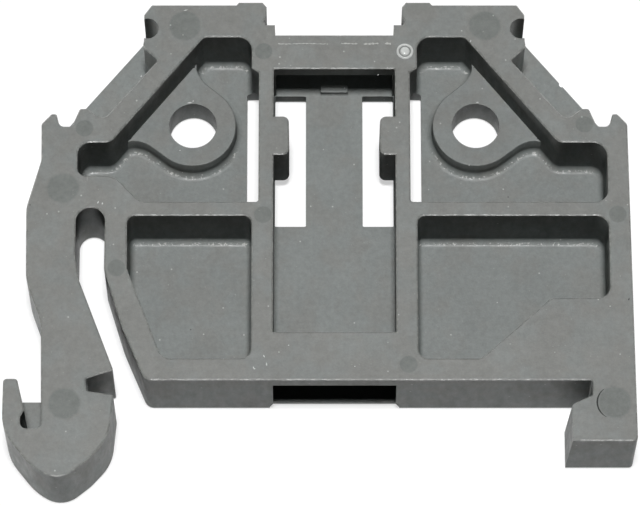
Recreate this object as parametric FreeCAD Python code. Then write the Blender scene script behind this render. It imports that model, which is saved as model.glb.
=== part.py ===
import FreeCAD, Part
import math
import os

# Clip-on end stop for a 35 mm mounting rail, moulded in one piece.
# The part lies on its flat back: Z = 0 is the back face, +Z the ribbed side.
# X runs across the rail, Y away from it. X = 0 is the middle of the upper part
# and Y = 0 is the face that sits on the rail. All sizes are in millimetres.

V = FreeCAD.Vector

# Driving sizes
THICK = 6.0             # width taken up along the rail
PLATE = 1.0             # back plate and pocket floors
SKIN = 1.2              # bridges in front of the sleeve
RIB = 1.05              # ribs between the pockets
HEIGHT = 28.31          # rail face to the top
HALF_TOP = 13.55        # half width of the label blocks
LABEL_GROOVE_R = 0.77
HALF_BODY = 20.7        # half width of the body
SIDE_WALL = 1.46        # wall between body side and pockets
EDGE_BREAK = 0.1        # small bevel on the ribbed side's edges
RAIL_WIDTH = 35.0
RAIL_LIP = 1.0          # sheet thickness of the rail
RAIL_PLAY = 0.12        # clearance over the rail's width
LIP_PLAY = 0.06         # clearance over the lip's thickness

# Shoulders: plate and rim fall from the blocks to the body's sides
PLATE_SHOULDER_X = HALF_TOP - 0.6
PLATE_SHOULDER_LOW = HEIGHT - 9.43
RIM_NOTCH_X = HALF_TOP - 1.0
RIM_NOTCH_Y = HEIGHT - 4.28
RIM_SHOULDER_X = HALF_BODY - 4.35
RIM_SHOULDER_LOW = RIM_NOTCH_Y - 4.56

# Sleeve down the middle
SLEEVE_HALF = 4.3
WINDOW_LOW = 3.54
BAR_TOP = HEIGHT - 2.33
WINDOW_TOP = BAR_TOP - 2.6
CROSS_DROP = 15.05      # top edge down to the cross ribs
CROSS_TOP = HEIGHT - CROSS_DROP
TONGUE_HALF = 2.02
BACK_WINDOW_LOW = CROSS_TOP
BACK_WINDOW_TOP = WINDOW_TOP - 0.07
TONGUE_HEAD_TOP = WINDOW_TOP + 0.55
SLEEVE_MOUTH_HALF = 4.17
LEAD_IN = 2.0           # thinned stretch of the back plate at the foot
LEAD_IN_LEFT = 0.3      # what is left of the plate there
GUIDE_REACH = 1.08
GUIDE_DROP = 8.57
GUIDE_TOP = HEIGHT - GUIDE_DROP
GUIDE_LOW = GUIDE_TOP - 2.92
CATCH_HALF = 1.02
CATCH_DEEP = 0.58

# Pockets
POCKET_TOP = BAR_TOP - 0.15
POCKET_SHOULDER_X = HALF_TOP - 4.25
POCKET_STEP_X = RIM_SHOULDER_X - 0.53
POCKET_STEP = RIM_SHOULDER_LOW - 1.72
CROSS_LOW = CROSS_TOP - RIB
POCKET_LOW = 1.6
RAMP_TOP = POCKET_LOW + 4.46
POCKET_IN = 5.82        # inner side of the lower pockets
FLOOR_FILLET = 0.5
RELIEF_WIDTH = 0.9
RELIEF_TOP = WINDOW_TOP + 0.05

# Screw lugs
HOLE_X = 10.1
HOLE_DROP = 7.98
HOLE_Y = HEIGHT - HOLE_DROP
HOLE_R = 1.7
LUG_R = 3.05
LUG_TOP = 2.7
LUG_FLARE = 0.6

# Rail seat, snap arm, hook and foot
SEAT_MIDDLE = 0.3
HOOK_TIP_X = SEAT_MIDDLE - (RAIL_WIDTH + RAIL_PLAY) / 2
FOOT_TIP_X = SEAT_MIDDLE + (RAIL_WIDTH + RAIL_PLAY) / 2
LIP_GAP = RAIL_LIP + LIP_PLAY
SLOT_TOP = CROSS_TOP - 0.44
SLOT_R = 1.02
SLOT_X = 3.57 - HALF_BODY
ARM_BELLY = 0.94        # how far the arm bows out beyond the body
HOOK_SIDE_X = HOOK_TIP_X + 1.96
HOOK_LOW = -7.04
FINGER_X = HOOK_TIP_X - 5.72
ARM_FOOT_X = FINGER_X + 2.72
FINGER_SLOT = 1.2       # between finger and arm
FINGER_TIP = 0.12
FINGER_ROOT = -3.5
FOOT_LOW = -4.42
FOOT_X = FOOT_TIP_X - 1.44
FOOT_LIP_LOW = -1.74
SEAT_END = 13.15         # from the middle to the slot's foot


def corner(before, here, after, radius):
    """Points where a rounding of this radius leaves and meets the sides."""
    to_before = (before - here).normalize()
    to_after = (after - here).normalize()
    half = to_before.getAngle(to_after) / 2
    reach = radius / math.tan(half)
    middle_way = (to_before + to_after).normalize()
    centre = here + middle_way * (radius / math.sin(half))
    return (here + to_before * reach,
            centre - middle_way * radius,
            here + to_after * reach)


def outline(points):
    """Closed wire through (x, y, corner radius) points."""
    count = len(points)
    spots = [V(p[0], p[1], 0) for p in points]
    runs = []
    for i, point in enumerate(points):
        if point[2] > 0:
            runs.append(corner(spots[i - 1], spots[i], spots[(i + 1) % count], point[2]))
        else:
            runs.append((spots[i],))
    edges = []
    for i, run in enumerate(runs):
        if len(run) == 3:
            edges.append(Part.Arc(*run).toShape())
        start = run[-1]
        end = runs[(i + 1) % count][0]
        if start.distanceToPoint(end) > 1e-5:
            edges.append(Part.makeLine(start, end))
    return Part.Wire(edges)


def prism(points, low, high):
    """Upright block of the outline between two heights."""
    wire = outline(points)
    wire.translate(V(0, 0, low))
    return Part.Face(wire).extrude(V(0, 0, high - low))


def block(x0, x1, y0, y1, z0, z1):
    return Part.makeBox(x1 - x0, y1 - y0, z1 - z0, V(x0, y0, z0))


def mirrored(points):
    return [(-x, y, r) for x, y, r in points]


def flipped(shape):
    return shape.mirror(V(0, 0, 0), V(1, 0, 0))


def upper_edge():
    """Right half of the ribbed side's upper edge, from the body's side inwards."""
    low = RIM_SHOULDER_LOW
    block_in = SLEEVE_HALF + 0.53
    return [
        (HALF_BODY, low - 0.32, 0.35),
        (HALF_BODY - 0.7, low + 0.45, 0.2),
        (HALF_BODY - 1.04, low + 0.43, 0.14),
        (HALF_BODY - 1.28, low - 0.5, 0.4),
        (HALF_BODY - 2.15, low - 0.5, 0.35),
        (HALF_BODY - 2.7, low + 0.85, 0.2),
        (HALF_BODY - 3.2, low + 0.85, 0.14),
        (RIM_SHOULDER_X, low, 0.6),
        (RIM_NOTCH_X, RIM_NOTCH_Y, 0.14),
        (HALF_TOP, HEIGHT - 3.33, 0),
        (HALF_TOP + 0.04, HEIGHT - 3.06, 0),
        (HALF_TOP, HEIGHT - 2.76, 0),
        (HALF_TOP, HEIGHT - 0.75, 0.14),
        (PLATE_SHOULDER_X + 0.07, HEIGHT, 0.14),
        (6.98, HEIGHT, 0),
        (6.8, HEIGHT + 0.21, 0),
        (5.12, HEIGHT + 0.21, 0),
        (block_in, HEIGHT - 0.15, 0),
        (block_in, HEIGHT - 0.9, 0),
        (block_in + 0.2, HEIGHT - 1.25, 0),
        (block_in + 0.05, HEIGHT - 1.53, 0),
        (SLEEVE_HALF - 0.06, HEIGHT - 1.53, 0),
        (SLEEVE_HALF - 0.1, BAR_TOP, 0),
    ]


def seat_and_foot():
    """Lower edge from the body's left corner to the foot's outer corner."""
    return [
        (-SEAT_END, 0, 0.7),
        (FOOT_TIP_X, 0, 0.14),
        (FOOT_TIP_X, -LIP_GAP, 0.15),
        (FOOT_X, FOOT_LIP_LOW, 0.2),
        (FOOT_X, FOOT_LOW, 0.3),
        (HALF_BODY + 0.2, FOOT_LOW, 0.3),
    ]


def arm_and_hook():
    """Snap arm with its hook, down the outside and up the slot's side."""
    inner = SLOT_X - SLOT_R
    slot_out = ARM_FOOT_X - FINGER_SLOT
    return [
        (0.05 - HALF_BODY, SLOT_TOP + 3.58, 1.2),
        (-HALF_BODY - ARM_BELLY, SLOT_TOP - 0.02, 2.5),
        (-HALF_BODY - ARM_BELLY + 0.09, SLOT_TOP - 5.4, 4.0),
        (ARM_FOOT_X - 0.18, SLOT_TOP - 8.5, 3.0),
        (ARM_FOOT_X, FINGER_ROOT, 0.5),
        (slot_out - 0.26, FINGER_ROOT, 0.45),
        (slot_out - 0.26, FINGER_ROOT + 0.85, 0.2),
        (slot_out, FINGER_ROOT + 1.3, 0.2),
        (slot_out - 0.54, FINGER_TIP, 0.25),
        (FINGER_X + 0.02, FINGER_TIP, 0.25),
        (FINGER_X, HOOK_LOW + 3.4, 3.49),
        (FINGER_X + 2.16, HOOK_LOW + 0.68, 4.28),
        (FINGER_X + 4.06, HOOK_LOW - 0.3, 1.83),
        (HOOK_SIDE_X - 1.76, HOOK_LOW + 1.19, 3.69),
        (HOOK_SIDE_X - 0.3, HOOK_LOW + 2.83, 3.17),
        (HOOK_SIDE_X, -LIP_GAP, 0.15),
        (HOOK_TIP_X + 0.1, -0.76, 0.14),
        (HOOK_TIP_X, 0.12, 0.14),
        (HOOK_SIDE_X - 0.05, 0.75, 0.14),
        (inner + 0.3, SLOT_TOP - 5.42, 2.0),
        (inner, SLOT_TOP - 3.52, 2.5),
    ]


def arm_slot():
    """Round top of the slot and down the body's slanted side."""
    bend_y = SLOT_TOP - 4.67
    return [
        (SLOT_X - SLOT_R, SLOT_TOP, SLOT_R - 0.001),
        (SLOT_X + SLOT_R, SLOT_TOP, SLOT_R - 0.001),
        (SLOT_X + SLOT_R, bend_y, 1.5),
        (-SEAT_END - 1.67, bend_y * 0.485, 10.0),
    ]


def front_edge():
    """Whole edge of the ribbed side, body, foot, arm and hook in one line."""
    left = mirrored(upper_edge())[::-1]
    return seat_and_foot() + upper_edge() + left + arm_and_hook() + arm_slot()


def plate_edge():
    """Back plate behind the blocks and shoulders, grooves covered."""
    return [
        (HALF_BODY, CROSS_TOP, 0),
        (HALF_BODY, PLATE_SHOULDER_LOW, 0.3),
        (PLATE_SHOULDER_X, HEIGHT, 0.12),
        (SLEEVE_HALF * 2, HEIGHT, 0),
        (SLEEVE_HALF * 2, CROSS_TOP, 0),
    ]


def shoulder_plates():
    """The plate reaches out beyond the rim along both shoulders."""
    right = prism(plate_edge(), 0, PLATE)
    top = V(PLATE_SHOULDER_X, HEIGHT, -0.1)
    fall = V(HALF_BODY, PLATE_SHOULDER_LOW, -0.1) - top
    nick = Part.makeCylinder(0.22, PLATE + 0.2, top + fall * 0.44 + V(0.06, 0.08, 0))
    return right.cut(nick).fuse(flipped(prism(plate_edge(), 0, PLATE)))


def label_grooves():
    """Round label groove in the side of each block, open to the front."""
    spot = V(HALF_TOP - 0.26, HEIGHT - 1.83, PLATE)
    groove = Part.makeCylinder(LABEL_GROOVE_R, THICK, spot)
    return groove.fuse(flipped(groove))


def finger_web():
    """Thin web at the back that ties the hook's outer finger to the arm."""
    return block(ARM_FOOT_X - FINGER_SLOT - 0.7, ARM_FOOT_X + 0.2,
                 FINGER_ROOT - 0.12, FINGER_TIP - 0.07, 0, PLATE)


def foot_draft():
    """The foot's inner side leans outwards towards the back."""
    lean = Part.makePolygon([
        V(FOOT_X, FOOT_LOW, THICK),
        V(FOOT_X + 0.5, FOOT_LOW, THICK),
        V(FOOT_X + 0.5, FOOT_LOW, 0),
        V(FOOT_X - 0.25, FOOT_LOW, 0),
        V(FOOT_X, FOOT_LOW, THICK),
    ])
    return Part.Face(lean).extrude(V(0, FOOT_LIP_LOW - 0.11 - FOOT_LOW, 0))


def solid_body():
    body = prism(front_edge(), 0, THICK)
    front = [e for e in body.Edges if e.BoundBox.ZMin > THICK - 1e-4]
    body = body.makeChamfer(EDGE_BREAK, front)
    body = body.fuse([shoulder_plates(), finger_web(), foot_draft()])
    return body.cut(label_grooves())


def pocket(points):
    """Pocket tool with a rounding along its floor."""
    tool = prism(points, PLATE, THICK + 1)
    rim = [e for e in tool.Edges if e.BoundBox.ZMax < PLATE + 1e-4]
    return tool.makeFillet(FLOOR_FILLET, rim)


def lower_pockets():
    low_r = 0.7
    side = HALF_BODY - SIDE_WALL
    slot_side = SLOT_X + SLOT_R + 1.55
    left = [
        (-POCKET_IN, POCKET_LOW, low_r),
        (-POCKET_IN, CROSS_LOW, 0.55),
        (slot_side, CROSS_LOW, 0.55),
        (slot_side + 0.04, SLOT_TOP - 4.57, 1.5),
        (slot_side + 2.56, POCKET_LOW, 0.9),
    ]
    right = [
        (POCKET_IN, POCKET_LOW, low_r),
        (side - 9.04, POCKET_LOW, 0.8),
        (side - 4.14, RAMP_TOP, 0.6),
        (side, RAMP_TOP, 0.9),
        (side, CROSS_LOW, 0.9),
        (POCKET_IN, CROSS_LOW, 0.55),
    ]
    return [pocket(left), pocket(right)]


def upper_pockets():
    """Pockets around the lugs; the left one steps over the arm's slot."""
    in_x = SLEEVE_HALF + RIB
    side = HALF_BODY - SIDE_WALL
    left_side = SLOT_X - SLOT_R + 0.03
    shared = [
        (in_x, WINDOW_TOP - 0.28, 0),
        (in_x + 0.52, WINDOW_TOP + 0.07, 0),
        (in_x + 0.52, POCKET_TOP, 0.95),
        (POCKET_SHOULDER_X, POCKET_TOP, 0.55),
        (POCKET_STEP_X, POCKET_STEP, 0.8),
    ]
    right = [(in_x, CROSS_TOP, 0.55)] + shared + [
        (side, POCKET_STEP, 1.0),
        (side, CROSS_TOP, 0.9),
    ]
    left = [(-in_x, CROSS_TOP, 0.55)] + mirrored(shared) + [
        (left_side, POCKET_STEP, 0.9),
        (left_side, SLOT_TOP + 2.4, 0.6),
        (left_side + 2.62, SLOT_TOP + 2.4, 1.6),
        (left_side + 4.42, CROSS_TOP, 1.0),
    ]
    return [pocket(right), pocket(left)]


def lug():
    """Right screw lug: round boss run out to the shoulder wall."""
    on_wall = V(POCKET_SHOULDER_X, POCKET_TOP, 0)
    along = (V(POCKET_STEP_X, POCKET_STEP, 0) - on_wall).normalize()
    out = V(-along.y, along.x, 0)
    centre = V(HOLE_X, HOLE_Y, 0)
    reach = (on_wall - centre).dot(out) + 0.3
    wide = LUG_R + LUG_FLARE
    spots = [
        (centre - along * LUG_R, 0),
        (centre - along * LUG_R + out * (reach - 1.6), 0.8),
        (centre - along * wide + out * reach, 0),
        (centre + along * wide + out * reach, 0),
        (centre + along * LUG_R + out * (reach - 1.6), 0.8),
        (centre + along * LUG_R, 0),
    ]
    run_out = prism([(s.x, s.y, r) for s, r in spots], PLATE - 0.2, LUG_TOP)
    boss = Part.makeCylinder(LUG_R, LUG_TOP - PLATE + 0.2, V(HOLE_X, HOLE_Y, PLATE - 0.2))
    return boss.fuse(run_out)


def screw_hole():
    return Part.makeCylinder(HOLE_R, THICK + 1, V(HOLE_X, HOLE_Y, -0.5))


def sleeve_cuts():
    """Sleeve behind the two bridges, and the window between them."""
    low_z = PLATE
    high_z = THICK - SKIN
    channel = block(-SLEEVE_HALF, SLEEVE_HALF, -1, WINDOW_TOP, low_z, high_z)
    window = [
        (-SLEEVE_HALF, WINDOW_LOW, 0.1),
        (SLEEVE_HALF, WINDOW_LOW, 0.1),
        (SLEEVE_HALF, WINDOW_TOP, 0.1),
        (-SLEEVE_HALF, WINDOW_TOP, 0.1),
    ]
    front = prism(window, low_z, THICK + 1)
    mouth = block(-SLEEVE_MOUTH_HALF, SLEEVE_MOUTH_HALF, WINDOW_TOP - 0.5, BAR_TOP + 0.5,
                  low_z, high_z)
    recess = block(-SLEEVE_MOUTH_HALF, SLEEVE_MOUTH_HALF, TONGUE_HEAD_TOP, BAR_TOP + 0.5,
                   0.5, high_z)
    lead_in = block(-SLEEVE_HALF, SLEEVE_HALF, -1, LEAD_IN, LEAD_IN_LEFT, high_z)
    return [channel, front, mouth, recess, lead_in]


def back_windows():
    """Openings in the back plate on both sides of the tongue."""
    right = prism([
        (TONGUE_HALF, BACK_WINDOW_LOW, 0.1),
        (SLEEVE_HALF - 0.06, BACK_WINDOW_LOW, 0.1),
        (SLEEVE_HALF - 0.06, BACK_WINDOW_TOP, 0.1),
        (TONGUE_HALF, BACK_WINDOW_TOP, 0.1),
    ], -0.1, PLATE + 0.1)
    return [right, flipped(right)]


def floor_reliefs():
    """Slots through the pocket floors beside the sleeve's ribs."""
    in_x = SLEEVE_HALF + RIB
    out_x = in_x + RELIEF_WIDTH
    slot = prism([
        (in_x, CROSS_TOP, 0.12),
        (out_x, CROSS_TOP, 0.12),
        (out_x, RELIEF_TOP, 0.12),
        (in_x, RELIEF_TOP, 0.12),
    ], -0.1, PLATE + FLOOR_FILLET)
    corner_room = prism([
        (in_x, CROSS_TOP, 0.2),
        (out_x, CROSS_TOP, 0),
        (out_x, CROSS_TOP + 1.5, 0),
        (in_x, CROSS_TOP + 1.5, 0),
    ], -0.1, THICK + 1)
    right = slot.fuse(corner_room)
    return [right, flipped(right)]


def sleeve_foot_cut():
    """The back plate stops short of the seat where the sleeve opens."""
    half = SLEEVE_HALF + 0.16
    return prism([
        (-half - 0.1, -1.0, 0),
        (half + 0.1, -1.0, 0),
        (half + 0.1, 0.05, 0.1),
        (half - 0.15, 0.3, 0.1),
        (0.15 - half, 0.3, 0.1),
        (-half - 0.1, 0.05, 0.1),
    ], -0.1, PLATE)


def guides():
    """Rounded guide tabs on the ribs that narrow the sleeve."""
    tip = SLEEVE_HALF - GUIDE_REACH
    right = prism([
        (SLEEVE_HALF + 0.2, GUIDE_LOW, 0),
        (SLEEVE_HALF + 0.2, GUIDE_TOP, 0),
        (tip, GUIDE_TOP, 0.45),
        (tip, GUIDE_LOW, 0.45),
    ], PLATE, THICK)
    return [right, flipped(right)]


def catch():
    """Small raised catch on the head of the tongue."""
    top = TONGUE_HEAD_TOP + 0.05
    return block(-CATCH_HALF, CATCH_HALF, top - CATCH_DEEP, top, PLATE - 0.1, PLATE + 0.12)


def bevelled_rims(body):
    """Break the front edges of pockets and window."""
    for face in body.Faces:
        if face.BoundBox.ZMin > THICK - 1e-4:
            holes = [w for w in face.Wires if not w.isSame(face.OuterWire)]
            body = body.makeChamfer(EDGE_BREAK, [e for w in holes for e in w.Edges])
            break
    return body


def end_stop():
    body = solid_body()
    body = body.cut(lower_pockets() + upper_pockets())
    body = body.fuse([lug(), flipped(lug())])
    body = body.cut([screw_hole(), flipped(screw_hole())])
    body = body.cut(sleeve_cuts())
    body = body.cut(back_windows() + floor_reliefs() + [sleeve_foot_cut()])
    body = body.fuse(guides() + [catch()])
    return bevelled_rims(body.removeSplitter())


os.makedirs("parts", exist_ok=True)
shape = end_stop()
if shape.ShapeType != "Solid":
    shape = shape.Solids[0] if len(shape.Solids) == 1 else shape
print("valid", shape.isValid(), "solids", len(shape.Solids), "volume", round(shape.Volume, 1))
box = shape.BoundBox
print("box", round(box.XMin, 2), round(box.XMax, 2), round(box.YMin, 2), round(box.YMax, 2),
      round(box.ZMin, 2), round(box.ZMax, 2))
shape.exportStep("parts/end_stop_body.step")
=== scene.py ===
import math
import bmesh
import bpy
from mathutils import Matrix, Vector


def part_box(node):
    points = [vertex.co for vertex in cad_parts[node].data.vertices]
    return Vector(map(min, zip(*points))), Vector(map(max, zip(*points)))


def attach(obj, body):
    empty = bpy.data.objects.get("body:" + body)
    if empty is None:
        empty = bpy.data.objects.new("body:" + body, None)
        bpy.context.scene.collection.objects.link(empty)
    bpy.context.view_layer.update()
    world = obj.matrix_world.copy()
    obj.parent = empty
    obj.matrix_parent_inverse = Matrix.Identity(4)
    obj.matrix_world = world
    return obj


# Looks of the rail end stop: one grey moulding on a plain white table.
# The part lies on its flat back, ribbed side up. Lengths are metres, and
# those given in millimetres are multiplied by MM.

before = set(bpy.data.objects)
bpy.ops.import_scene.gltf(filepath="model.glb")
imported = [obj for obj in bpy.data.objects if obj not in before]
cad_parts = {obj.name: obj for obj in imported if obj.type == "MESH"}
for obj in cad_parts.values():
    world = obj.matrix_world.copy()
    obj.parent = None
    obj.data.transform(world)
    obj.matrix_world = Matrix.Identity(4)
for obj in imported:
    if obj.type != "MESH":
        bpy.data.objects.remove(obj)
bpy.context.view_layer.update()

MM = 0.001
BODY = "end_stop_body"
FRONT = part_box(BODY)[1].z
PLATE = 1.0             # top of the pocket floors, in mm
LUG_TOP = 2.7           # top of the screw lugs, in mm

# Camera, at the angle of the photograph
TILT = math.radians(20.6)
DISTANCE = 321.7 * MM
AIM = Vector((-1.018 * MM, 9.39 * MM, FRONT))
LENS = 258.75
SENSOR = 36
NEAREST = 0.01

# Lights: name, direction from the part, distance, width, height and watts
KEY = ("key", (0.0, -0.063, 1.0), 1.0, 0.15, 0.15, 13.9)
GLEAMS = [("floor_gleam", (0.0, -0.75, 0.66), 0.6, 0.3, 0.3, 0.8),
          ("rim_gleam", (0.0, -0.936, 0.352), 0.6, 0.4, 0.09, 3.0)]
SIDES = [("side_left", (-1.0, 0.0, 0.09), 0.5, 0.08, 0.08, 1.0),
         ("side_right", (1.0, 0.0, 0.09), 0.5, 0.08, 0.08, 0.6),
         ("side_back", (0.0, 1.0, 0.14), 0.5, 0.08, 0.08, 1.1)]
SURROUNDINGS = 0.03

# Tone curve: how far it darkens the shade, and the lights that it is given at
SHADE = 0.08
CURVE_LIGHTS = (0.015, 0.04, 0.08, 0.14, 0.22, 0.32, 0.5, 0.7)
ALL_CHANNELS = 3

# White table below the part, and dark card between them: places and sizes in mm
TABLE_DROP = 0.2
TABLE_SIZE = 3000
TABLE_GREY = (0.3, 0.3, 0.3, 1)
TABLE_GLOW = 0.6
CARD_DROP = 0.1
CARD_MIDDLE_Y = 13.4
CARD_SIZE = (9.4, 22.0)
CARD_GREY = (0.01, 0.01, 0.01, 1)

# Greys of the plastic: warm on the ribs, cool on the floors, dull under a pin
WARM = (0.172, 0.1750, 0.168)
COOL = (0.176, 0.187, 0.183)
MARK_GREY = (0.142, 0.150, 0.144)
# Pale grey for the chips, and for the gate, where it is partly painted highlight
SHINE_GREY = (0.42, 0.43, 0.42)
# Painted shade for the dent and the arc by the foot's mark
PAINTED_SHADE_GREY = (0.045, 0.047, 0.046)

# Brightness of the pale marks, as a multiple of the plastic's own grey: the insert line's painted
# highlight, the worn rims that are paler partly as painted highlight, and the painted highlight on the
# walls' feet
LINE_HIGHLIGHT_BRIGHTNESS = 1.9
RIM_WEAR_AND_HIGHLIGHT_BRIGHTNESS = 1.45
FEET_HIGHLIGHT_BRIGHTNESS = 2.1

# Noise in the plastic: features per mm, detail and roughness
PATCHES = (0.45, 3.0, 0.6)
CLOUDS = (0.28, 2.0, 0.5)
MOTTLE = (2.6, 6.0, 0.75)
BEADS = (3.4, 3.0, 0.8)
FEET_HIGHLIGHT_NOISE = (4.0, 2.0, 0.8)
POLISH = (1.6, 3.0, 0.6)
GRAIN = (6.0, 4.0, 0.65)
DRAW_SQUEEZE = 0.35     # share of the height that is left along the draw

# Ranges that are taken from a value, and what each is turned into if not 0 to 1
PATCHES_WARM = (0.38, 0.62, -0.3, 0.7)
HEIGHT_WARM = (1.5, 5.5, 0.0, 0.6)
CLOUDS_LIGHT = (0.35, 0.65, 0.47, 0.53)
MOTTLE_LIGHT = (0.3, 0.7, 0.385, 0.615)
BEADS_KEPT = (0.48, 0.58)
FEET_HIGHLIGHT_KEPT = (0.55, 0.63)
POLISH_TAKEN = (0.3, 0.7)
RIM_SMOOTH = (0.0, 1.0, 0.45, 1.0)
FACING_UP = (0.1, 0.3)
FACING_CAMERA = (-0.05, -0.2)

# Dots on the plastic: cells per mm, size, share of the cells and brightness
SPECKS_AND_PITS = [(1.3, 0.1, 0.34, 1.8), (2.3, 0.1, 0.3, 1.35), (0.8, 0.055, 0.16, 0.55)]
SCUFFS = (1.7, 0.07, 0.09, 1.3)
SCUFF_TURN = (0, 0, 1.1)
SCUFF_STRETCH = (1.0, 0.16, 0.4)
DOT_CORE = 0.6          # share of a dot's size that is at full strength
DOT_CHOICE = 0.02       # range over which a cell's dot comes in

# Bands of height in mm: worn rims, paler partly as painted highlight, and roundings at the walls' feet,
# which get a painted highlight
RIM_BAND = (FRONT / MM - 0.13, FRONT / MM - 0.003)
FEET_BAND = (PLATE, PLATE + 0.11)
BAND_FADE_IN = 0.03
BAND_FADE_OUT = 0.007

# Surface of the plastic
SPECULAR = 0.22
RIM_ROUGHNESS = 0.2
ROUGHNESS_SPREAD = 0.08
EDGE_RADIUS = 0.04 * MM
EDGE_SAMPLES = 6
GRAIN_DEPTH = 0.02 * MM

# Round marks of the ejector pins on the ribbed side: radius, soft rim, places
LARGE_MARK = 1.22
LARGE_SOFT = 0.2
LARGE_MARKS = [(-10.64, 26.69), (10.72, 26.69), (-19.09, 14.26), (-18.69, -1.73), (19.36, -1.64)]
SMALL_MARK = 0.66
SMALL_SOFT = 0.08
SMALL_MARKS = [(-17.65, 18.8), (17.66, 19.1), (-15.24, 8.27), (-5.03, 24.71), (-5.02, 12.26),
               (19.87, 12.30), (5.13, 1.14)]
# Share of the soft rim, height in mm and strength, from the rim inwards
PRINT_RIM = [(0.0, 0.001, 0.0), (0.5, 0.004, 0.5), (1.0, 0.006, 1.0)]
PRINT_MIDDLE = (0.1, 0.006)
ROUND_STEPS = 48

# Gate: place, then radius and height of the ring's and the dome's sections
GATE_SPOT = (5.02, 24.71)
GATE_RING = [(0.6, -0.01), (0.57, 0.06), (0.51, 0.09), (0.45, 0.06), (0.42, -0.01)]
GATE_DOME = [(0.34, -0.01), (0.31, 0.06), (0.25, 0.1), (0.17, 0.12), (0.09, 0.13), (0.03, 0.13)]

# Nicks on the ribbed side and the lugs: place, length and direction in mm
# and degrees, and the half width and height of them all
NICKS = [(-5.62, 0.9, 0.22, 110), (-5.55, 0.82, 0.14, 20), (-4.72, 1.15, 0.3, 100),
         (-3.2, 2.55, 0.12, 0), (-4.9, 1.75, 0.25, 120), (1.4, 1.0, 0.1, 60),
         (-10.6, 27.9, 0.35, 15), (9.7, 25.5, 0.2, 70), (-16.6, 13.2, 0.25, 60),
         (-16.3, 13.1, 0.2, 80), (-13.7, 22.8, 0.15, 30), (3.1, 22.9, 0.12, 0)]
LUG_NICKS = [(-10.35, 22.13, 0.42, 8), (-10.1, 22.25, 0.16, 60), (10.25, 22.15, 0.25, 10),
             (9.6, 17.3, 0.12, 0), (-11.0, 18.45, 0.1, 30)]
NICK_HALF_WIDTH = 0.045
NICK_HEIGHT = 0.04

# Dark spots of painted shade: for a dent by the body's side, and for an arc at the rim of the foot's
# mark
DENT = (20.5, 5.95, 0.22, 70)
ARC_MARK = LARGE_MARKS[4]
ARC_FROM, ARC_TO = math.radians(125), math.radians(240)
ARC_STEPS = 24
ARC_THIN = 0.012
ARC_SWELL = 0.045
ARC_LIFT = 0.009

# Line on the top bar in broken runs: from, to and height in mm
LINE_Y = 25.3
LINE_RUNS = [(-4.0, -0.45, 0.02), (0.5, 1.65, 0.045), (2.1, 3.15, 0.08), (3.6, 4.02, 0.08)]
LINE_STEP = 0.04
LINE_HALF_WIDTH = 0.018
LINE_SUNK = -0.002

# Skirts of the screw lugs in mm: middle, radius, foot fillet, and the flare's
# half outline from the middle along the shoulder wall and out to it
LUG = Vector((10.1, 20.33))
LUG_R = 3.06
LUG_STEPS = 40
LUG_FILLET = 0.5
FILLET_STEPS = 8
ALONG_WALL = Vector((0.628, -0.778))
TO_WALL = Vector((0.778, 0.628))
FLARE = [(3.06, 0.0), (3.07, 0.8), (3.09, 1.45), (3.17, 1.85), (3.33, 2.25), (3.55, 2.6), (3.9, 2.86)]
# Broken top edge: distance out from the lug's wall, and height over its top
LUG_EDGE = [(-0.14, 0.001), (-0.07, 0.004), (-0.02, -0.001), (0.015, -0.05)]
SKIRT_OUT = 0.02
SKIRT_LIFT = 0.003
SKIRT_END = (LUG_FILLET + 0.1, PLATE - 0.01)

# Catch on the sleeve's floor, raised over the solid's own, in mm
CATCH_HALF = 0.98
CATCH_Y = (23.43, 23.95)
CATCH_Z = (1.05, 1.5)
CATCH_EDGE = 0.04


def tree_of(material):
    """Node tree of a new material, and its shader."""
    material.use_nodes = True
    tree = material.node_tree
    return tree, tree.nodes["Principled BSDF"]


def in_millimetres(tree):
    """Object coordinates in millimetres, so that texture scales are per mm."""
    place = tree.nodes.new("ShaderNodeTexCoord")
    scale = tree.nodes.new("ShaderNodeVectorMath")
    scale.operation = "SCALE"
    scale.inputs["Scale"].default_value = 1 / MM
    tree.links.new(place.outputs["Object"], scale.inputs[0])
    return scale.outputs[0]


def drawn_out(tree, where):
    """The same place with its height squeezed, for marks along the mould's draw."""
    squeezed = tree.nodes.new("ShaderNodeVectorMath")
    squeezed.operation = "MULTIPLY"
    squeezed.inputs[1].default_value = (1, 1, DRAW_SQUEEZE)
    tree.links.new(where, squeezed.inputs[0])
    return squeezed.outputs[0]


def noise(tree, where, texture):
    """Noise in a texture's features per mm, detail and roughness."""
    scale, detail, roughness = texture
    made = tree.nodes.new("ShaderNodeTexNoise")
    made.inputs["Scale"].default_value = scale
    made.inputs["Detail"].default_value = detail
    made.inputs["Roughness"].default_value = roughness
    tree.links.new(where, made.inputs["Vector"])
    return made.outputs["Fac"]


def ramp(tree, value, low, high, out_low=0.0, out_high=1.0):
    """A range of a value, evenly turned into another and cut off at its ends."""
    made = tree.nodes.new("ShaderNodeMapRange")
    made.inputs["From Min"].default_value = low
    made.inputs["From Max"].default_value = high
    made.inputs["To Min"].default_value = out_low
    made.inputs["To Max"].default_value = out_high
    tree.links.new(value, made.inputs["Value"])
    return made.outputs["Result"]


def blend(tree, share, first, second):
    """Colour between two, each a socket or a fixed colour."""
    made = tree.nodes.new("ShaderNodeMix")
    made.data_type = "RGBA"
    tree.links.new(share, made.inputs["Factor"])
    for colour, socket in ((first, made.inputs["A"]), (second, made.inputs["B"])):
        if isinstance(colour, tuple):
            socket.default_value = (*colour, 1)
        else:
            tree.links.new(colour, socket)
    return made.outputs["Result"]


def combined(tree, operation, first, second):
    """Two values put together by one operation."""
    made = tree.nodes.new("ShaderNodeMath")
    made.operation = operation
    tree.links.new(first, made.inputs[0])
    tree.links.new(second, made.inputs[1])
    return made.outputs[0]


def product(tree, first, second):
    return combined(tree, "MULTIPLY", first, second)


def scaled(grey, brightness):
    """The grey at another brightness."""
    return tuple(brightness * c for c in grey)


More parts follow.
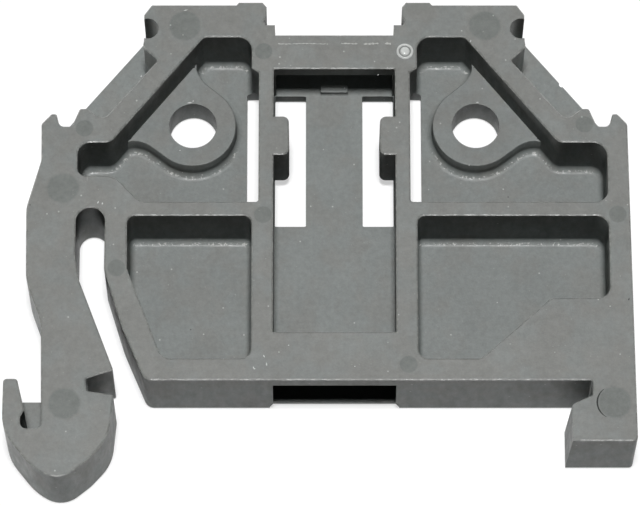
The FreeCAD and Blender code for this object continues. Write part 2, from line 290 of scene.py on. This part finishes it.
def specks(tree, where, scale, size, share):
    """Sparse round dots: 1 inside a dot, 0 outside."""
    cells = tree.nodes.new("ShaderNodeTexVoronoi")
    cells.inputs["Scale"].default_value = scale
    tree.links.new(where, cells.inputs["Vector"])
    inside = ramp(tree, cells.outputs["Distance"], size, size * DOT_CORE)
    parts = tree.nodes.new("ShaderNodeSeparateColor")
    tree.links.new(cells.outputs["Color"], parts.inputs["Color"])
    chosen = ramp(tree, parts.outputs["Red"], 1 - share, 1 - share + DOT_CHOICE)
    return product(tree, inside, chosen)


def dotted(tree, where, colour, dots, grey):
    """Dots of one kind over a colour, in a grey of their own brightness."""
    scale, size, share, brightness = dots
    spots = specks(tree, where, scale, size, share)
    return blend(tree, spots, colour, scaled(grey, brightness))


def facing(tree, axis, low, high):
    """0 to 1 as the surface's own direction goes from low to high on an axis."""
    surface = tree.nodes.new("ShaderNodeNewGeometry")
    parts = tree.nodes.new("ShaderNodeSeparateXYZ")
    tree.links.new(surface.outputs["True Normal"], parts.inputs[0])
    return ramp(tree, parts.outputs[axis], low, high)


def height_of(tree, where):
    """Height of a place, in mm where the place is."""
    parts = tree.nodes.new("ShaderNodeSeparateXYZ")
    tree.links.new(where, parts.inputs[0])
    return parts.outputs["Z"]


def height_band(tree, where, low, high):
    """1 between two heights in mm, 0 elsewhere."""
    height = height_of(tree, where)
    below = ramp(tree, height, low, low + BAND_FADE_IN)
    above = ramp(tree, height, high - BAND_FADE_OUT, high, 1.0, 0.0)
    return product(tree, below, above)


def wall_feet(tree, where):
    """1 on the roundings at the walls' feet that face the camera, where a painted highlight goes."""
    feet = height_band(tree, where, *FEET_BAND)
    feet = product(tree, feet, facing(tree, "Z", *FACING_UP))
    return product(tree, feet, facing(tree, "Y", *FACING_CAMERA))


def along_scuffs(tree, where):
    """The same place, turned and stretched along the scuffs."""
    turned_place = tree.nodes.new("ShaderNodeMapping")
    turned_place.inputs["Rotation"].default_value = SCUFF_TURN
    turned_place.inputs["Scale"].default_value = SCUFF_STRETCH
    tree.links.new(where, turned_place.inputs["Vector"])
    return turned_place.outputs["Vector"]


def grey_colour(tree, where, warm, cool):
    """Cool on the pocket floors and warm on the ribs, patchy and mottled."""
    share = tree.nodes.new("ShaderNodeMath")
    share.operation = "ADD"
    share.use_clamp = True
    patches = ramp(tree, noise(tree, where, PATCHES), *PATCHES_WARM)
    tree.links.new(patches, share.inputs[0])
    tree.links.new(ramp(tree, height_of(tree, where), *HEIGHT_WARM), share.inputs[1])
    base = blend(tree, share.outputs[0], cool, warm)
    spread = drawn_out(tree, where)
    clouds = ramp(tree, noise(tree, spread, CLOUDS), *CLOUDS_LIGHT)
    mottle = ramp(tree, noise(tree, spread, MOTTLE), *MOTTLE_LIGHT)
    lit = tree.nodes.new("ShaderNodeVectorMath")
    lit.operation = "SCALE"
    tree.links.new(base, lit.inputs[0])
    tree.links.new(combined(tree, "ADD", clouds, mottle), lit.inputs["Scale"])
    return lit.outputs[0]


def spotted(tree, where, colour, grey):
    """Pale specks of two sizes and dark pits, then sparse short pale streaks,
    as parts get in a bin with others."""
    for dots in SPECKS_AND_PITS:
        colour = dotted(tree, where, colour, dots, grey)
    return dotted(tree, along_scuffs(tree, where), colour, SCUFFS, grey)


def worn_roughness(tree, where, roughness, rims, feet, beads):
    """Uneven roughness, down to that of the worn rims and feet."""
    rim_share = product(tree, rims, ramp(tree, beads, *RIM_SMOOTH))
    worn = combined(tree, "MAXIMUM", rim_share, product(tree, feet, beads))
    polish = noise(tree, drawn_out(tree, where), POLISH)
    smoothest = roughness - ROUGHNESS_SPREAD
    roughest = roughness + ROUGHNESS_SPREAD
    uneven = ramp(tree, polish, *POLISH_TAKEN, smoothest, roughest)
    made = tree.nodes.new("ShaderNodeMix")
    tree.links.new(worn, made.inputs["Factor"])
    tree.links.new(uneven, made.inputs["A"])
    made.inputs["B"].default_value = RIM_ROUGHNESS
    return made.outputs["Result"]


def grained(tree, where, grain):
    """Surface direction with slightly rounded edges and a fine grain."""
    edge = tree.nodes.new("ShaderNodeBevel")
    edge.samples = EDGE_SAMPLES
    edge.inputs["Radius"].default_value = EDGE_RADIUS
    bump = tree.nodes.new("ShaderNodeBump")
    bump.inputs["Strength"].default_value = grain
    bump.inputs["Distance"].default_value = GRAIN_DEPTH
    tree.links.new(noise(tree, drawn_out(tree, where), GRAIN), bump.inputs["Height"])
    tree.links.new(edge.outputs["Normal"], bump.inputs["Normal"])
    return bump.outputs["Normal"]


def plastic(name, warm, cool, roughness, grain, fade_to=None):
    """Moulded polyamide: patchy grey, pale specks, fine grain, worn rims that are paler partly as
    painted highlight, and a painted highlight on the walls' feet.

    With fade_to it turns into that grey where the mesh's fade is 0.
    """
    material = bpy.data.materials.new(name)
    tree, shader = tree_of(material)
    where = in_millimetres(tree)
    colour = grey_colour(tree, where, warm, cool)
    if fade_to:
        fade = tree.nodes.new("ShaderNodeAttribute")
        fade.attribute_name = "fade"
        around = grey_colour(tree, where, *fade_to)
        colour = blend(tree, fade.outputs["Fac"], around, colour)
    colour = spotted(tree, where, colour, warm)
    rims = height_band(tree, where, *RIM_BAND)
    feet = wall_feet(tree, where)
    beads = ramp(tree, noise(tree, where, BEADS), *BEADS_KEPT)
    feet_highlight = ramp(tree, noise(tree, where, FEET_HIGHLIGHT_NOISE), *FEET_HIGHLIGHT_KEPT)
    # Rims paler where worn, partly as painted highlight
    colour = blend(tree, product(tree, rims, beads), colour, scaled(warm, RIM_WEAR_AND_HIGHLIGHT_BRIGHTNESS))
    # Painted highlight in flecks on the walls' feet that face up and towards the camera
    colour = blend(tree, product(tree, feet, feet_highlight), colour, scaled(warm, FEET_HIGHLIGHT_BRIGHTNESS))
    tree.links.new(colour, shader.inputs["Base Color"])
    worn = worn_roughness(tree, where, roughness, rims, feet, beads)
    tree.links.new(worn, shader.inputs["Roughness"])
    tree.links.new(grained(tree, where, grain), shader.inputs["Normal"])
    shader.inputs["Specular IOR Level"].default_value = SPECULAR
    return material


def dress(piece, material):
    piece.data.materials.clear()
    piece.data.materials.append(material)


def ridden(name, made, material, smooth=True):
    """Piece of the moulding's surface from a finished edit mesh."""
    mesh = bpy.data.meshes.new(name)
    made.to_mesh(mesh)
    made.free()
    for face in mesh.polygons:
        face.use_smooth = smooth
    piece = bpy.data.objects.new(name, mesh)
    bpy.context.scene.collection.objects.link(piece)
    dress(piece, material)
    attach(piece, "root")


def turned(made, x, y, profile, closed=True):
    """Round form about an upright line, from (radius, height) points in mm."""
    loops = []
    for r, z in profile:
        loop = []
        for i in range(ROUND_STEPS):
            turn = math.tau * i / ROUND_STEPS
            place = ((x + r * math.cos(turn)) * MM, (y + r * math.sin(turn)) * MM, FRONT + z * MM)
            loop.append(made.verts.new(place))
        loops.append(loop)
    for outer, inner in zip(loops, loops[1:]):
        for i in range(ROUND_STEPS):
            j = (i + 1) % ROUND_STEPS
            made.faces.new((outer[i], outer[j], inner[j], inner[i]))
    if closed:
        made.faces.new(loops[-1])
    return loops


def strip(made, rows):
    """Faces between rows of vertices of one length."""
    for near, far in zip(rows, rows[1:]):
        for k in range(len(near) - 1):
            made.faces.new((near[k], far[k], far[k + 1], near[k + 1]))


def pin_mark(made, fade, x, y, radius, soft):
    """Thin print of a pin, a hair proud of the face, fading in at its rim."""
    profile = [(radius - soft * share, z) for share, z, amount in PRINT_RIM]
    loops = turned(made, x, y, profile + [PRINT_MIDDLE])
    amounts = [amount for share, z, amount in PRINT_RIM] + [1.0]
    for loop, amount in zip(loops, amounts):
        for vert in loop:
            vert[fade] = amount


def ejector_marks():
    """Prints of the ejector pins on the ribbed side."""
    made = bmesh.new()
    fade = made.verts.layers.float.new("fade")
    for x, y in LARGE_MARKS:
        pin_mark(made, fade, x, y, LARGE_MARK, LARGE_SOFT)
    for x, y in SMALL_MARKS:
        pin_mark(made, fade, x, y, SMALL_MARK, SMALL_SOFT)
    material = plastic("pin_print", MARK_GREY, MARK_GREY, roughness=0.5, grain=0.4, fade_to=(WARM, COOL))
    ridden("ejector_marks", made, material)


def gate_mark():
    """Small shiny dome in a raised ring, where the plastic was fed in, in a pale grey that is partly
    painted highlight.
    """
    for name, profile, roughness in (("gate_ring", GATE_RING, 0.25), ("gate_dome", GATE_DOME, 0.16)):
        made = bmesh.new()
        turned(made, *GATE_SPOT, profile, closed=profile is GATE_DOME)
        ridden(name, made, plastic(name, SHINE_GREY, SHINE_GREY, roughness, grain=0.12))


def chip(made, x, y, z, length, degrees):
    """Sliver with pointed ends and a low crest, all in mm."""
    along = Vector((math.cos(math.radians(degrees)), math.sin(math.radians(degrees)), 0))
    across = Vector((-along.y, along.x, 0)) * NICK_HALF_WIDTH
    middle = Vector((x, y, z))
    start, end = [made.verts.new((middle + along * length * k) * MM) for k in (-0.5, 0.5)]
    right, left = [made.verts.new((middle + across * k) * MM) for k in (-1, 1)]
    crest = made.verts.new((middle + Vector((0, 0, NICK_HEIGHT))) * MM)
    for near, far in ((start, right), (right, end), (end, left), (left, start)):
        made.faces.new((near, far, crest))


def nicks():
    """Tiny raised chips that knocks have left."""
    made = bmesh.new()
    for x, y, length, degrees in NICKS:
        chip(made, x, y, FRONT / MM, length, degrees)
    for x, y, length, degrees in LUG_NICKS:
        chip(made, x, y, LUG_TOP, length, degrees)
    ridden("nicks", made, plastic("chipped", SHINE_GREY, SHINE_GREY, roughness=0.4, grain=0.3))


def painted_shade_marks():
    """Painted shade of a dent by the body's side, and of the arc at the rim of the foot's mark."""
    made = bmesh.new()
    dent_x, dent_y, length, degrees = DENT
    chip(made, dent_x, dent_y, FRONT / MM, length, degrees)
    rows = []
    for i in range(ARC_STEPS + 1):
        turn = ARC_FROM + (ARC_TO - ARC_FROM) * i / ARC_STEPS
        wide = ARC_THIN + ARC_SWELL * math.sin(math.pi * i / ARC_STEPS)
        row = []
        for r in (LARGE_MARK - wide, LARGE_MARK + wide):
            x = ARC_MARK[0] + r * math.cos(turn)
            y = ARC_MARK[1] + r * math.sin(turn)
            row.append(made.verts.new((x * MM, y * MM, FRONT + ARC_LIFT * MM)))
        rows.append(row)
    strip(made, rows)
    # Very dark grey is painted shade
    ridden("painted_shade_marks", made, plastic("dent_and_arc_shade", PAINTED_SHADE_GREY, PAINTED_SHADE_GREY, roughness=0.6, grain=0.3))


def raggedness(x):
    """How far the line stands up at x, from 0 to 1."""
    return abs(math.sin(5.3 * x) * math.sin(12.7 * x + 1)) ** 0.6


def wandering(x):
    """Place of the line across the bar at x."""
    return LINE_Y + 0.02 * math.sin(2.3 * x) + 0.01 * math.sin(17 * x)


def insert_line():
    """Faint broken line across the top bar, where a mould insert ends, a low ridge in a pale grey that
    is painted highlight.
    """
    made = bmesh.new()
    for start, end, height in LINE_RUNS:
        rows = []
        steps = round((end - start) / LINE_STEP)
        for i in range(steps + 1):
            x = start + (end - start) * i / steps
            y = wandering(x)
            up = height * raggedness(x)
            wide = LINE_HALF_WIDTH + up
            section = ((y - wide, LINE_SUNK), (y, up), (y + wide, LINE_SUNK))
            rows.append([made.verts.new((x * MM, sy * MM, FRONT + sz * MM)) for sy, sz in section])
        strip(made, rows)
    # Pale grey of the line is painted highlight
    pale = scaled(WARM, LINE_HIGHLIGHT_BRIGHTNESS)
    ridden("insert_line", made, plastic("insert_edge", pale, pale, roughness=0.35, grain=0.5))


def lug_path():
    """Outline of the right lug from wall to wall, as points and outward directions."""
    points = [ALONG_WALL * -a + TO_WALL * o for a, o in reversed(FLARE)]
    for i in range(1, LUG_STEPS):
        turn = math.pi * i / LUG_STEPS
        points.append((ALONG_WALL * -math.cos(turn) - TO_WALL * math.sin(turn)) * LUG_R)
    points += [ALONG_WALL * a + TO_WALL * o for a, o in FLARE]
    found = []
    for k, here in enumerate(points):
        run = points[min(k + 1, len(points) - 1)] - points[max(k - 1, 0)]
        outward = Vector((run.y, -run.x)).normalized()
        found.append((LUG + here, outward if outward.dot(here) > 0 else -outward))
    return found


def skirt_profile():
    """Section of a skirt, as distance out from the lug's wall and height in mm."""
    profile = [(out, LUG_TOP + up) for out, up in LUG_EDGE]
    profile.append((SKIRT_OUT, PLATE + LUG_FILLET))
    for i in range(1, FILLET_STEPS + 1):
        turn = math.pi * (1 + i / (2 * FILLET_STEPS))
        out = SKIRT_OUT + LUG_FILLET * (1 + math.cos(turn))
        profile.append((out, PLATE + LUG_FILLET * (1 + math.sin(turn)) + SKIRT_LIFT))
    return profile + [SKIRT_END]


def lug_skirts():
    """Broken top edge and filleted foot round both screw lugs."""
    profile = skirt_profile()
    made = bmesh.new()
    for side in (1, -1):
        rows = []
        for point, outward in lug_path():
            places = [(point + outward * out, z) for out, z in profile]
            rows.append([made.verts.new((side * xy.x * MM, xy.y * MM, z * MM)) for xy, z in places])
        strip(made, rows)
    bmesh.ops.recalc_face_normals(made, faces=made.faces)
    ridden("lug_skirts", made, plastic("lug_grey", WARM, COOL, roughness=0.45, grain=0.4))


def catch_pad():
    """Catch block on the sleeve's floor with broken edges."""
    made = bmesh.new()
    bmesh.ops.create_cube(made, size=1.0)
    for vert in made.verts:
        vert.co.x = CATCH_HALF * MM * (1 if vert.co.x > 0 else -1)
        vert.co.y = CATCH_Y[vert.co.y > 0] * MM
        vert.co.z = CATCH_Z[vert.co.z > 0] * MM
    bmesh.ops.bevel(made, geom=list(made.edges), offset=CATCH_EDGE * MM, segments=1,
                    profile=0.5, affect="EDGES")
    material = plastic("catch_grey", WARM, COOL, roughness=0.45, grain=0.4)
    ridden("catch_pad", made, material, smooth=False)


def dressed_body():
    """The solid itself in the moulded grey."""
    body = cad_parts[BODY]
    dress(body, plastic("grey_moulding", WARM, COOL, roughness=0.45, grain=0.55))


def floor():
    """White table just below the part, bright as an overexposed backdrop."""
    bpy.ops.mesh.primitive_plane_add(size=TABLE_SIZE * MM, location=(0, 0, -TABLE_DROP * MM))
    plane = bpy.context.object
    plane.name = "floor"
    material = bpy.data.materials.new("white_table")
    shader = tree_of(material)[1]
    shader.inputs["Base Color"].default_value = TABLE_GREY
    shader.inputs["Roughness"].default_value = 0.9
    shader.inputs["Specular IOR Level"].default_value = 0.0
    shader.inputs["Emission Color"].default_value = (1, 1, 1, 1)
    shader.inputs["Emission Strength"].default_value = TABLE_GLOW
    dress(plane, material)


def dark_card():
    """Card just under the sleeve that only reflections see, as if the table
    below the openings were in shade."""
    place = (0, CARD_MIDDLE_Y * MM, -CARD_DROP * MM)
    bpy.ops.mesh.primitive_plane_add(size=1, location=place)
    card = bpy.context.object
    card.name = "card_below"
    card.scale = (CARD_SIZE[0] * MM, CARD_SIZE[1] * MM, 1)
    material = bpy.data.materials.new("dark_card")
    tree_of(material)[1].inputs["Base Color"].default_value = CARD_GREY
    dress(card, material)
    card.visible_camera = False
    card.visible_diffuse = False
    card.visible_shadow = False


def area_light(name, towards, distance, wide, high, power):
    """Soft light that looks at the part from a direction."""
    lamp = bpy.data.lights.new(name, "AREA")
    lamp.shape = "RECTANGLE"
    lamp.size = wide
    lamp.size_y = high
    lamp.energy = power
    light = bpy.data.objects.new(name, lamp)
    bpy.context.scene.collection.objects.link(light)
    direction = Vector(towards).normalized()
    light.location = AIM + direction * distance
    light.rotation_mode = "QUATERNION"
    light.rotation_quaternion = direction.to_track_quat("Z", "Y")
    return light


def lights():
    """Key from above, faint gleams on the bevels, low soft light all round."""
    area_light(*KEY)
    for gleam in GLEAMS:
        area_light(*gleam).visible_diffuse = False
    for side in SIDES:
        area_light(*side).visible_glossy = False
    world = bpy.data.worlds.new("soft_surroundings")
    world.use_nodes = True
    background = world.node_tree.nodes["Background"]
    background.inputs["Color"].default_value = (1, 1, 1, 1)
    background.inputs["Strength"].default_value = SURROUNDINGS
    bpy.context.scene.world = world


def photo_contrast():
    """Tone curve of a photograph: deep shade nearly black, paper white."""
    view = bpy.context.scene.view_settings
    view.view_transform = "Standard"
    view.use_curve_mapping = True
    curve = view.curve_mapping.curves[ALL_CHANNELS]
    for light in CURVE_LIGHTS:
        curve.points.new(light, light ** 2 / (light + SHADE))
    view.curve_mapping.update()


def camera():
    """Long lens at the photograph's angle, aimed at the ribbed face."""
    lens = bpy.data.cameras.new("camera")
    lens.lens = LENS
    lens.sensor_width = SENSOR
    lens.clip_start = NEAREST
    seen_from = bpy.data.objects.new("camera", lens)
    bpy.context.scene.collection.objects.link(seen_from)
    seen_from.location = AIM + Vector((0, -math.sin(TILT), math.cos(TILT))) * DISTANCE
    seen_from.rotation_euler = (TILT, 0, 0)
    bpy.context.scene.camera = seen_from


dressed_body()
ejector_marks()
gate_mark()
nicks()
painted_shade_marks()
insert_line()
lug_skirts()
catch_pad()
floor()
dark_card()
lights()
photo_contrast()
camera()
